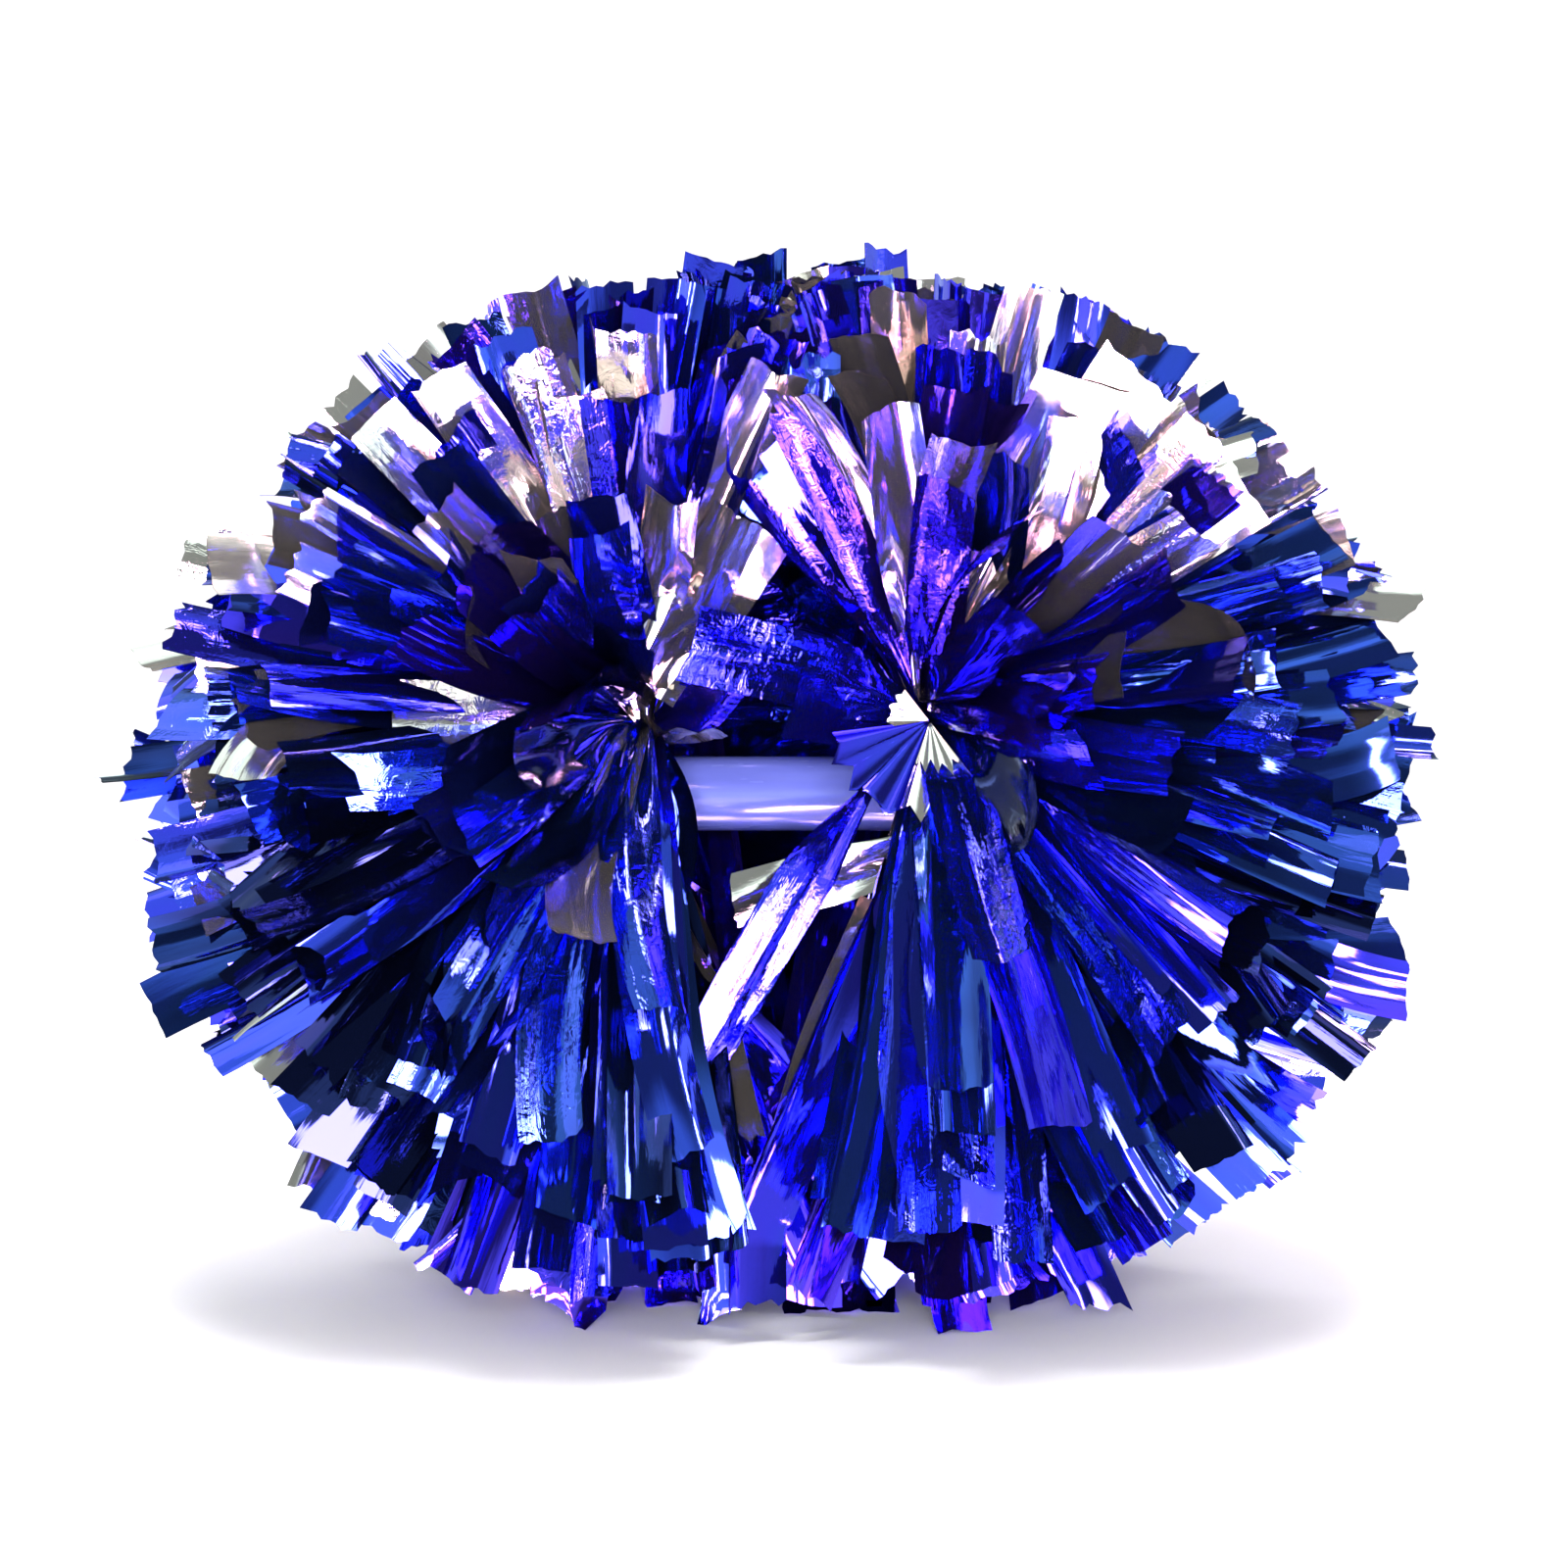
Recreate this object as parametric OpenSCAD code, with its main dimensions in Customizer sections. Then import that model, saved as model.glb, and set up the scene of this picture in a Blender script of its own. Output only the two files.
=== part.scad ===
// Cheer pom pom: two heads of foil strips on the ends of a hollow baton handle.
// The handle lies along X. The pom rests on Z = 0 on the flattened tips of its lower strips,
// and the hand goes in from the front, which is -Y.

/* [Handle] */
// Outer diameter of the handle tube
handle_d = 23.5; // [20:0.5:28]
// Wall of the handle tube
handle_wall = 1.5; // [1:0.1:2]
// Length of the handle tube, which is the clear grip between the two plugs
handle_len = 80; // [74:1:100]

/* [Heads] */
// Reach of a head's strips from its middle, along the handle's line
head_reach = 159; // [150:1:165]
// Reach of a head's strips from the handle's axis, square to it
head_r = 167; // [162:1:172]
// Height of the handle's axis over the surface that the pom rests on
axis_h = 158; // [152:0.5:160]
// Width of a bunch of strips at its tip
bunch_tip_w = 44; // [30:1:50]
// Width of a bunch of strips where it leaves the clamped middle
bunch_root_w = 6; // [3:0.5:6.5]
// Thickness of a bunch of strips
bunch_t = 0.8; // [0.4:0.1:0.9]
// Thickness of one foil layer where it is clamped
layer_t = 1.2; // [1.1:0.1:1.6]

/* [Clamp] */
// Diameter of the end plug's flange
flange_d = 30; // [28:1:34]
// Diameter of the clamp disc outside the foil
clamp_d = 25; // [20:1:26]
// Diameter of the screw's shank
screw_d = 4.2; // [3.6:0.1:4.6]

/* [Hidden] */

$fn = 64;

// Each layer, from the one against the plug outwards: the angle that its strips make with the
// outward axis, how many bunches it has, and how far round its first bunch is from straight down.
layer_angle = [104, 89, 75, 60, 45, 28, 10];
layer_bunches = [12, 14, 13, 13, 12, 9, 5];
layer_start = [0, 180 / 14, 0, 180 / 13, 0, 20, 36];
layers = len(layer_angle);

// Stack along X on the right end, from the tube outwards
turn_gap = 0.3; // between the parts that turn and the parts that don't
flange_t = 2;
clamp_t = 2;
washer_t = 1;
tube_end_x = handle_len / 2;
flange_x = tube_end_x + flange_t;
stack_x = flange_x + turn_gap;
clamp_x = stack_x + layers * layer_t;
washer_x = clamp_x + clamp_t + turn_gap;
screw_head_x = washer_x + washer_t;
hub_x = stack_x + layers * layer_t / 2;

// Roots of the strips: the outermost layer leaves the clamp closest to the axis, and the roots
// are held in the clamped middle of the stack
root_r_min = clamp_d / 2 + 0.5;
root_r_step = 1.1;
root_hold = 1;

// Fits
tube_r = handle_d / 2;
bore_r = tube_r - handle_wall;
plug_clearance = 0.05;
shaft_clearance = 0.05;
foil_hole_r = screw_d / 2 + 0.4;

// Plug
spigot_len = 12;
spigot_wall = 1.6;
boss_r = 4.5;
boss_len = 16;
pilot_r = screw_d / 2 - 0.35;
rib_t = 1.2;
edge = 0.5; // chamfer on plastic edges

// Screw
screw_head_r = 4;
screw_head_h = 2.6;
recess_l = 4.4;
recess_w = 1.1;
recess_depth = 1.6;
thread_pitch = 1.4;
thread_turns = 9;
thread_core_r = screw_d / 2 - 0.5;
screw_tip_l = 3;

// Turns a piece made upright along Z so that it runs along +X from x, on the handle's axis
module along_x(x) {
    translate([x, 0, axis_h]) rotate([0, 90, 0]) children();
}

// A left-hand piece is the mirror image of the right-hand one
module on_side(side) {
    if (side == "left") mirror([1, 0, 0]) children();
    else children();
}

// A disc with a hole and chamfered rims, standing on Z = 0
module ring(r_out, r_in, h, chamfer) {
    rotate_extrude() polygon([
        [r_in, 0], [r_out - chamfer, 0], [r_out, chamfer],
        [r_out, h - chamfer], [r_out - chamfer, h], [r_in, h]]);
}

module handle_tube() {
    color([0.55, 0.60, 0.95])
    along_x(-tube_end_x) ring(tube_r, bore_r, handle_len, edge);
}

module end_plug() {
    color([0.62, 0.66, 0.96]) {
        difference() {
            union() {
                along_x(tube_end_x) ring(flange_d / 2, pilot_r, flange_t, edge);
                along_x(tube_end_x - boss_len) cylinder(r = boss_r, h = boss_len + edge);
                along_x(tube_end_x - spigot_len)
                    ring(bore_r - plug_clearance, bore_r - plug_clearance - spigot_wall,
                         spigot_len + edge, edge);
                for (a = [45 : 90 : 315])
                    translate([0, 0, axis_h]) rotate([a, 0, 0])
                        translate([tube_end_x - spigot_len + 1, -rib_t / 2, boss_r - edge])
                            cube([spigot_len - 1 + edge, rib_t,
                                  bore_r - spigot_wall - boss_r + edge]);
            }
            along_x(tube_end_x - boss_len - 1) cylinder(r = pilot_r, h = boss_len + flange_t + 2);
        }
    }
}

// How far a bunch that leaves the point p at an angle to the axis runs before it reaches the
// oval outline of the head
function bunch_len(p, angle) =
    let (u = [cos(angle) / head_reach, sin(angle) / head_r],
         d = [(p[0] - hub_x) / head_reach, p[1] / head_r],
         a = u * u,
         b = d * u)
    (-b + sqrt(b * b - a * (d * d - 1))) / a;

function root_r(k) = root_r_min + (layers - 1 - k) * root_r_step;
function layer_x(k) = stack_x + (k + 0.5) * layer_t;

// One flat bunch of strips of layer k, turned round the axis from straight down
module bunch(k, turn) {
    angle = layer_angle[k];
    p = [layer_x(k), root_r(k)];
    l = bunch_len(p, angle);
    tip_r = p[1] + l * sin(angle);
    share = 0.75 * 2 * PI * tip_r / layer_bunches[k];
    tip_w = min(bunch_tip_w, share);
    translate([0, 0, axis_h]) rotate([turn, 0, 0]) translate([p[0], 0, -p[1]])
        rotate([0, angle, 0])
            linear_extrude(height = bunch_t, center = true)
                polygon([[0, -bunch_root_w / 2], [l, -tip_w / 2],
                         [l, tip_w / 2], [0, bunch_root_w / 2]]);
}

// The bunch of the innermost layer that would stand across the hand's way in is parted
function in_hand_way(k, turn) = k == 0 && abs(turn - 270) < 20;

// A ring of bunches, with the tips that would pass below the rest surface pressed flat on it
module foil_layer(k) {
    color([0.05, 0.08, 0.80])
    difference() {
        for (i = [0 : layer_bunches[k] - 1]) {
            turn = layer_start[k] + i * 360 / layer_bunches[k];
            if (!in_hand_way(k, turn)) bunch(k, turn);
        }
        translate([-head_r, -head_r, -head_r]) cube([4 * head_r, 2 * head_r, head_r]);
    }
}

// The unslit middle of the stack of foil, stepped in towards the clamp disc
module foil_core() {
    color([0.05, 0.08, 0.60])
    difference() {
        for (k = [0 : layers - 1])
            along_x(layer_x(k) - layer_t / 2) cylinder(r = root_r(k) + root_hold, h = layer_t);
        along_x(stack_x - 1) cylinder(r = foil_hole_r, h = layers * layer_t + 2);
    }
}

module clamp_disc() {
    color([0.92, 0.92, 0.95])
    along_x(clamp_x) ring(clamp_d / 2, screw_d / 2 + shaft_clearance, clamp_t, edge);
}

module washer() {
    color([0.75, 0.76, 0.78])
    along_x(washer_x) ring(6, screw_d / 2 + shaft_clearance, washer_t, 0.15);
}

module screw() {
    shank_l = screw_head_x - tube_end_x;
    thread_l = thread_turns * thread_pitch;
    color([0.80, 0.81, 0.83]) {
        difference() {
            along_x(screw_head_x) ring(screw_head_r, 0, screw_head_h, 0.8);
            for (a = [0, 90])
                translate([screw_head_x + screw_head_h, 0, axis_h]) rotate([a, 0, 0])
                    cube([2 * recess_depth, recess_l, recess_w], center = true);
        }
        along_x(tube_end_x) cylinder(d = screw_d, h = shank_l);
        along_x(tube_end_x - thread_l) cylinder(r = thread_core_r, h = thread_l);
        for (i = [0 : thread_turns - 1])
            along_x(tube_end_x - (i + 1) * thread_pitch)
                cylinder(r1 = thread_core_r, r2 = screw_d / 2, h = thread_pitch / 2);
        along_x(tube_end_x - thread_l - screw_tip_l)
            cylinder(r1 = 0.3, r2 = thread_core_r, h = screw_tip_l);
    }
}

handle_tube();
on_side("left") end_plug();  // left_end_plug
on_side("left") foil_core();  // left_foil_core
on_side("left") foil_layer(0);  // left_foil_layer_1
on_side("left") foil_layer(1);  // left_foil_layer_2
on_side("left") foil_layer(2);  // left_foil_layer_3
on_side("left") foil_layer(3);  // left_foil_layer_4
on_side("left") foil_layer(4);  // left_foil_layer_5
on_side("left") foil_layer(5);  // left_foil_layer_6
on_side("left") foil_layer(6);  // left_foil_layer_7
on_side("left") clamp_disc();  // left_clamp_disc
on_side("left") washer();  // left_washer
on_side("left") screw();  // left_screw
on_side("right") end_plug();  // right_end_plug
on_side("right") foil_core();  // right_foil_core
on_side("right") foil_layer(0);  // right_foil_layer_1
on_side("right") foil_layer(1);  // right_foil_layer_2
on_side("right") foil_layer(2);  // right_foil_layer_3
on_side("right") foil_layer(3);  // right_foil_layer_4
on_side("right") foil_layer(4);  // right_foil_layer_5
on_side("right") foil_layer(5);  // right_foil_layer_6
on_side("right") foil_layer(6);  // right_foil_layer_7
on_side("right") clamp_disc();  // right_clamp_disc
on_side("right") washer();  // right_washer
on_side("right") screw();  // right_screw
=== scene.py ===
"""Cheer pom pom: two heads of crinkled metallic foil strips on a baton handle."""

import math

import bpy
import numpy as np
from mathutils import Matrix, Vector


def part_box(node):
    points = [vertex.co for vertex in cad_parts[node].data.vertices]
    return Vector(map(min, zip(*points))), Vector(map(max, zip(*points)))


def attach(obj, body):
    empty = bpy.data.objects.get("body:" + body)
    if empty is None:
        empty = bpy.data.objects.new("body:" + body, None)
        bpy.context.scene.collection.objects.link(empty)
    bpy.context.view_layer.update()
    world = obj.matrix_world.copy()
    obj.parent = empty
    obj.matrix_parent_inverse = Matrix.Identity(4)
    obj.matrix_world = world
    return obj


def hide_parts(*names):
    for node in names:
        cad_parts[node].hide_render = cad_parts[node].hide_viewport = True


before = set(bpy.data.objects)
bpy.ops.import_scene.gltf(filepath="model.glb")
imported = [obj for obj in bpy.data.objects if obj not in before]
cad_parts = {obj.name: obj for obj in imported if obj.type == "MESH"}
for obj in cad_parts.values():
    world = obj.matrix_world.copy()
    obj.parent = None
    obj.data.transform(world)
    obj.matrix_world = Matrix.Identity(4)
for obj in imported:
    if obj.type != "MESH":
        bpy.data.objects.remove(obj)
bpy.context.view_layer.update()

MM = 0.001
SIDES = ("left", "right")
STRIP_W = 19.0  # the width that the film is slit to, in mm
FILM_T = 0.14  # between a strip's two faces, in mm
CLEAR, LOWEST = 0.4, 0.1  # how near the floor a strip's front and back may come, in mm
ROWS, COLS = 34, 9  # points along and across a strip
PATTERN_L = 160  # the length of film pattern that a strip shows, in mm

tube_lo, tube_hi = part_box("handle_tube")
AXIS_Z = (tube_lo.z + tube_hi.z) / 2 / MM
core_lo, core_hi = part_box("right_foil_core")
HUB_X = (core_lo.x + core_hi.x) / 2 / MM
CORE_X = (core_lo.x / MM, core_hi.x / MM)
head_lo, head_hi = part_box("right_foil_layer_2")
HEAD_R = (head_hi.z / MM) - AXIS_Z
HEAD_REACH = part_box("right_foil_layer_7")[1].x / MM - HUB_X
HEAD_MIDDLE = np.array([HUB_X, 0, AXIS_Z])

# For each layer from the plug outwards: the angle that its strips make with the outward axis,
# how many bunches it has, where its first bunch is from straight down, strips to a bunch, and
# how far the ends of its strips curl over, in radians
LAYER = [
    (104, 12, 0.0, 5, 0.0),
    (90, 14, 13.0, 6, 0.0),
    (76, 13, 0.0, 6, 0.0),
    (61, 13, 14.0, 6, 0.0),
    (46, 12, 0.0, 6, 0.3),
    (30, 9, 20.0, 6, 0.45),
    (13, 5, 36.0, 9, 0.9),
]
LAYERS = len(LAYER)
LAYER_PITCH = (CORE_X[1] - CORE_X[0]) / LAYERS
ROOT_R, CORE_R = 12.0, 13.6  # from the axis to the last layer's strips, and to its middle's edge
RADIUS_STEP = 1.1  # by which each layer's radii are larger than the next one's, in mm
N_BEHIND, N_ABOVE, N_BELOW = 50, 30, 24  # strips of the first layer that close the middle
N_OVER = 76  # strips of the last layer that curl over the middle of the end
N_CAPS = 20  # plain strips that spread from the front of each hub
MEET, OUTSIDE, ANYWHERE = -9.0, 4.0, -999.0  # how far inwards a strip may go, in mm
HAND_ANGLE, HAND_ANGLE_1 = 42, 30  # half the hand's way in, for all layers and for the first
HAND_HALF_H, HAND_X, HAND_Y = 17, 36, -8  # the way in at the handle: half height, side, rear, in mm


def unit(v):
    v = np.asarray(v, float)
    return v / np.maximum(np.linalg.norm(v, axis=-1, keepdims=True), 1e-9)


def smooth(a, b, x):
    """0 up to a, 1 from b on, and a smooth step between."""
    t = np.clip((x - a) / (b - a), 0, 1)
    return t * t * (3 - 2 * t)


def dot(a, b):
    return (a * b).sum(-1, keepdims=True)


def turned(v, axis, angle):
    """Each v turned round its axis by its angle, in radians."""
    c, s = np.cos(angle)[:, None], np.sin(angle)[:, None]
    return v * c + np.cross(axis, v) * s + axis * dot(axis, v) * (1 - c)


def layer_x(k):
    """Where layer k is along the handle's line."""
    return CORE_X[0] + (k + 0.5) * LAYER_PITCH


# ---------------------------------------------------------------- the shape of a strip


def between(n_fine, n_coarse):
    """The matrix that joins n_coarse values by straight lines and reads them at n_fine places."""
    at = np.linspace(0, n_coarse - 1, n_fine)
    return np.maximum(0, 1 - np.abs(at[:, None] - np.arange(n_coarse)[None]))


def facets(rng, n, every_row, every_col):
    """Crumple for n strips: random heights from -1 to 1, joined by flat facets."""
    rows, cols = max(3, ROWS // every_row + 2), max(3, COLS // every_col + 2)
    coarse = rng.uniform(-1, 1, (n, rows, cols))
    return np.einsum("ir,nrc,jc->nij", between(ROWS, rows), coarse, between(COLS, cols))


def folds(rng, n):
    """Lengthwise folds for n strips: the heights of runs of columns that slope to and fro."""
    turn_back = np.where(rng.random((n, COLS - 1)) < 0.4, -1, 1)
    slope = rng.choice([-1, 1], (n, 1)) * np.cumprod(turn_back, 1)
    slope = slope * rng.uniform(0.4, 1.5, (n, COLS - 1))
    height = np.concatenate([np.zeros((n, 1)), np.cumsum(slope, 1)], 1)
    return height - height.mean(1, keepdims=True)


def kept_clear(point, heading, step, keep):
    """Each heading, levelled out where its next step would go under the floor, and without its
    inward part where that step would go inwards of keep."""
    under = point[:, 2] + heading[:, 2] * step[:, 0] < CLEAR
    up = (CLEAR - point[:, 2]) / step[:, 0]
    level = heading.copy()
    level[:, 2] = 0
    level = unit(level) * np.sqrt(np.clip(1 - up ** 2, 0.02, 1))[:, None]
    level[:, 2] = np.clip(up, -1, 1)
    heading = np.where(under[:, None], level, heading)
    past = point[:, 0] + heading[:, 0] * step[:, 0] < keep
    heading[past, 0] = 0
    return unit(heading)


def ribbons(rng, root, start, aim, length, face, settle, keep=MEET, width=STRIP_W, root_open=0.2,
            tip_open=(0.975, 0.9995), twist=0.4, curl=0.4, bend=0.14, crushed=0.28, lean=0.0):
    """Ribbons of film as grids of points, in mm, for the right head, and how crumpled each is.
    Each leaves root along start, turns towards aim over the part settle of its length, and opens
    from a pleated root to a cupped, square-cut tip. root_open and tip_open are how much of its
    width it shows there, and face is the way that its front looks. It stays above the floor and
    outwards of keep. twist, curl and bend are how much it strays, crushed is the share of
    crumpled ones, and lean curls its end over."""
    n = len(root)
    start, aim = unit(start), unit(aim)
    settle = np.broadcast_to(np.asarray(settle, float), (n,))
    keep = np.broadcast_to(np.asarray(keep, float), (n,))
    tip_open = rng.uniform(*tip_open, n)[:, None, None]
    twist, curl, bend = (rng.normal(0, x, n) for x in (twist, curl, bend))
    curl = curl + lean
    crush = np.where(rng.random(n) < crushed, rng.uniform(0.5, 1.0, n), rng.uniform(0.0, 0.15, n))
    cup = rng.uniform(0.05, 0.75, n) * rng.choice([-1, 1], n)

    side = np.cross(face, aim)
    weak = np.linalg.norm(side, axis=1) < 0.15
    side[weak] = np.cross(unit(rng.normal(size=(weak.sum(), 3))), aim[weak])
    side = unit(side)
    step = (np.asarray(length) / (ROWS - 1))[:, None]
    point, edge = np.array(root, float), side
    centre, tangent, across = [], [], []
    for t in np.linspace(0, 1, ROWS):
        turning = smooth(0, settle, t)[:, None]
        heading = unit(start * (1 - turning) + aim * turning)
        heading = turned(heading, side, curl * smooth(0.45, 1.15, t))
        heading = turned(heading, unit(np.cross(side, heading)), bend * t)
        heading = kept_clear(point, heading, step, keep)
        edge = unit(edge - dot(edge, heading) * heading)
        centre.append(point)
        tangent.append(heading)
        across.append(turned(edge, heading, twist * (t - 0.35)))
        point = point + heading * step
    centre, tangent, across = (np.stack(x, 1)[:, :, None, :] for x in (centre, tangent, across))
    normal = np.cross(tangent, across)

    s = np.linspace(0, 1, ROWS)[None, :, None]
    u = np.linspace(-1, 1, COLS)[None, None, :]
    opened_at = rng.uniform(0.42, 0.75, n)[:, None, None]
    shown = root_open + (tip_open - root_open) * smooth(0, opened_at, s)
    pleats = folds(rng, n)[:, None, :] * (width / (COLS - 1) * np.sqrt(1 - shown ** 2))
    arc = cup[:, None, None] * smooth(0.3, 1.0, s) + 1e-4
    aside = width / 2 * shown * np.sin(arc * u) / arc
    raised = width / 2 * shown * (1 - np.cos(arc * u)) / arc + pleats
    fine = crush[:, None, None]
    raised = raised + (0.3 + 0.5 * fine) * facets(rng, n, 7, 3) * (0.25 + 0.75 * smooth(0.05, 0.6, s))
    raised = raised + 0.24 * fine * facets(rng, n, 2, 1) * smooth(0.1, 0.4, s)
    raised = raised + rng.normal(0, 0.4, n)[:, None, None] * np.clip(np.abs(u) * 2 - 1, 0, 1) ** 2
    raised = raised + (0.05 + 0.2 * fine) * facets(rng, n, 1, 1) * smooth(0.88, 1.0, s)
    ragged = rng.uniform(0.2, 1.6, n)[:, None]
    cut = rng.normal(0, 1.2, n)[:, None] * u[0] + ragged * rng.uniform(-1, 1, (n, COLS))
    slide = np.zeros((n, ROWS, COLS))
    slide[:, -1] = cut
    slide[:, -2] = cut * 0.45
    grid = centre + across * aside[..., None] + normal * raised[..., None] + tangent * slide[..., None]
    grid[..., 2] = np.maximum(grid[..., 2], CLEAR)
    return grid, crush


def film_object(name, strips, tints, crush, silver):
    """A mesh of many two-sided strips, most of blue film and some of silver film."""
    n = len(strips)
    front = np.array(strips)
    normal = unit(np.cross(np.gradient(front, axis=1), np.gradient(front, axis=2)))
    back = front - normal * FILM_T
    back[..., 2] = np.maximum(back[..., 2], LOWEST)
    verts = np.concatenate([front.reshape(-1, 3), back.reshape(-1, 3)]) * MM

    per = ROWS * COLS
    row, col = np.meshgrid(np.arange(ROWS - 1), np.arange(COLS - 1), indexing="ij")
    corner = (row * COLS + col).ravel()
    quad = np.stack([corner, corner + 1, corner + COLS + 1, corner + COLS], axis=1)
    base = (np.arange(n) * per)[:, None, None]
    front_faces = (quad[None, :, ::-1] + base).reshape(-1, 4)
    back_faces = (quad[None] + base + n * per).reshape(-1, 4)
    faces = np.concatenate([front_faces, back_faces])
    mesh = bpy.data.meshes.new(name)
    mesh.vertices.add(len(verts))
    mesh.vertices.foreach_set("co", verts.ravel())
    mesh.loops.add(faces.size)
    mesh.loops.foreach_set("vertex_index", faces.ravel().astype(np.int32))
    mesh.polygons.add(len(faces))
    mesh.polygons.foreach_set("loop_start", np.arange(0, faces.size, 4, dtype=np.int32))
    slots = np.tile(np.repeat(silver, len(quad)), 2).astype(np.int32)
    mesh.polygons.foreach_set("material_index", slots)
    mesh.polygons.foreach_set("use_smooth", np.ones(len(faces), bool))
    mesh.update(calc_edges=True)

    # Each strip shows its own piece of the pattern, and its back another
    uu, vv = np.meshgrid(np.linspace(0, STRIP_W, COLS), np.linspace(0, PATTERN_L, ROWS))
    shift = np.random.default_rng(5).uniform(0, 900, (n, 2))
    uv = np.stack([uu[None] + shift[:, 0, None, None], vv[None] + shift[:, 1, None, None]], -1)
    uv = np.concatenate([uv.reshape(-1, 2), uv.reshape(-1, 2) + 431.0]) * MM
    mesh.uv_layers.new(name="film_mm").data.foreach_set("uv", uv[faces.ravel()].ravel())
    for attribute, values in (("tint", tints), ("crush", crush)):
        data = mesh.attributes.new(attribute, "FLOAT", "POINT").data
        data.foreach_set("value", np.tile(np.repeat(values, per), 2).astype(np.float32))
    obj = bpy.data.objects.new(name, mesh)
    bpy.context.scene.collection.objects.link(obj)
    return obj


# ---------------------------------------------------------------- materials


def add_node(tree, kind, inputs, **settings):
    """A new shader node. Each input is given a value, or joined to the socket it is given."""
    node = tree.nodes.new("ShaderNode" + kind)
    for name, value in settings.items():
        setattr(node, name, value)
    for key, value in inputs.items():
        if isinstance(value, bpy.types.NodeSocket):
            tree.links.new(value, node.inputs[key])
        else:
            node.inputs[key].default_value = value
    return node


def maths(tree, operation, *values):
    return add_node(tree, "Math", dict(enumerate(values)), operation=operation).outputs[0]


def colour_ramp(tree, factor, stops):
    """The colour at factor, from stops of (place, colour) between places 0 and 1."""
    node = add_node(tree, "ValToRGB", {"Fac": factor})
    elements = node.color_ramp.elements
    (elements[0].position, first), (elements[1].position, last) = stops[0], stops[-1]
    elements[0].color, elements[1].color = (*first, 1), (*last, 1)
    for place, colour in stops[1:-1]:
        elements.new(place).color = (*colour, 1)
    return node.outputs["Color"]


def new_material(name):
    material = bpy.data.materials.new(name)
    material.use_nodes = True
    return material, material.node_tree, material.node_tree.nodes["Principled BSDF"]


def film_material(name, stops, metallic, roughness):
    """Mirror-like film. stops are (tint, colour), and patches along each strip vary its tint."""
    material, tree, shader = new_material(name)
    film_mm = add_node(tree, "UVMap", {}, uv_map="film_mm").outputs["UV"]
    tint = add_node(tree, "Attribute", {}, attribute_name="tint").outputs["Fac"]
    crush = add_node(tree, "Attribute", {}, attribute_name="crush").outputs["Fac"]

    def drawn_out(along):
        """The place on the film, for a pattern that is 1 / along times as long as it is wide."""
        node = add_node(tree, "Mapping", {"Vector": film_mm, "Scale": (1, along, 1)})
        return node.outputs["Vector"]

    def noise(along, scale, detail, rough=0.5, distortion=0.0):
        inputs = {"Vector": drawn_out(along), "Scale": scale, "Detail": detail,
                  "Roughness": rough, "Distortion": distortion}
        return add_node(tree, "TexNoise", inputs, noise_dimensions="2D").outputs[0]

    tint = maths(tree, "MULTIPLY_ADD", noise(0.35, 60, 2), 0.45, tint)
    top = stops[-1][0]
    stops = [(at / top, colour) for at, colour in stops]
    colour = colour_ramp(tree, maths(tree, "MULTIPLY", tint, 1 / top), stops)
    tree.links.new(colour, shader.inputs["Base Color"])
    shader.inputs["Metallic"].default_value = metallic
    shader.inputs["Roughness"].default_value = roughness

    # Long creases from the slitting and gathering, and fine crumple on the crushed strips
    crease = noise(0.10, 420, 3, 0.55, 0.2)
    dents = add_node(tree, "TexVoronoi", {"Vector": drawn_out(0.55), "Scale": 230},
                     voronoi_dimensions="2D", feature="F1").outputs["Distance"]
    crumple = maths(tree, "MULTIPLY_ADD", dents, 0.22, noise(1, 160, 3, 0.6, 0.6))
    creased = maths(tree, "MULTIPLY_ADD", crease, 0.5, 0.0)
    height = maths(tree, "MULTIPLY_ADD", crumple, crush, creased)
    strength = maths(tree, "MULTIPLY_ADD", crush, 0.65, 0.2)
    bump = add_node(tree, "Bump", {"Strength": strength, "Distance": 0.4 * MM, "Height": height})
    tree.links.new(bump.outputs["Normal"], shader.inputs["Normal"])
    return material


def grained_material(name, colour, rough, grain, metal=0.0, coat=0.0, along=1.0):
    """A solid material with faint mottling in its colour and roughness, and a surface grain that
    is grain mm deep. along below 1 draws the pattern out along the handle's line."""
    material, tree, shader = new_material(name)
    place = add_node(tree, "TexCoord", {}).outputs["Object"]
    place = add_node(tree, "Mapping", {"Vector": place, "Scale": (along, 1, 1)}).outputs["Vector"]

    def noise(scale, detail):
        return add_node(tree, "TexNoise", {"Vector": place, "Scale": scale, "Detail": detail}).outputs[0]

    ramp = add_node(tree, "ValToRGB", {"Fac": noise(90, 4)})
    dark, pale = ramp.color_ramp.elements
    dark.position, dark.color = 0.3, (*(0.86 * c for c in colour), 1)
    pale.position, pale.color = 0.7, (*(min(1, 1.1 * c) for c in colour), 1)
    tree.links.new(ramp.outputs["Color"], shader.inputs["Base Color"])
    worn = add_node(tree, "MapRange", {"Value": noise(260, 3), "To Min": rough * 0.75,
                                       "To Max": rough * 1.3})
    tree.links.new(worn.outputs["Result"], shader.inputs["Roughness"])
    bump = add_node(tree, "Bump", {"Strength": 0.35, "Distance": grain * MM,
                                   "Height": noise(1400, 3)})
    tree.links.new(bump.outputs["Normal"], shader.inputs["Normal"])
    shader.inputs["Metallic"].default_value = metal
    shader.inputs["Coat Weight"].default_value = coat
    return material


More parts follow.
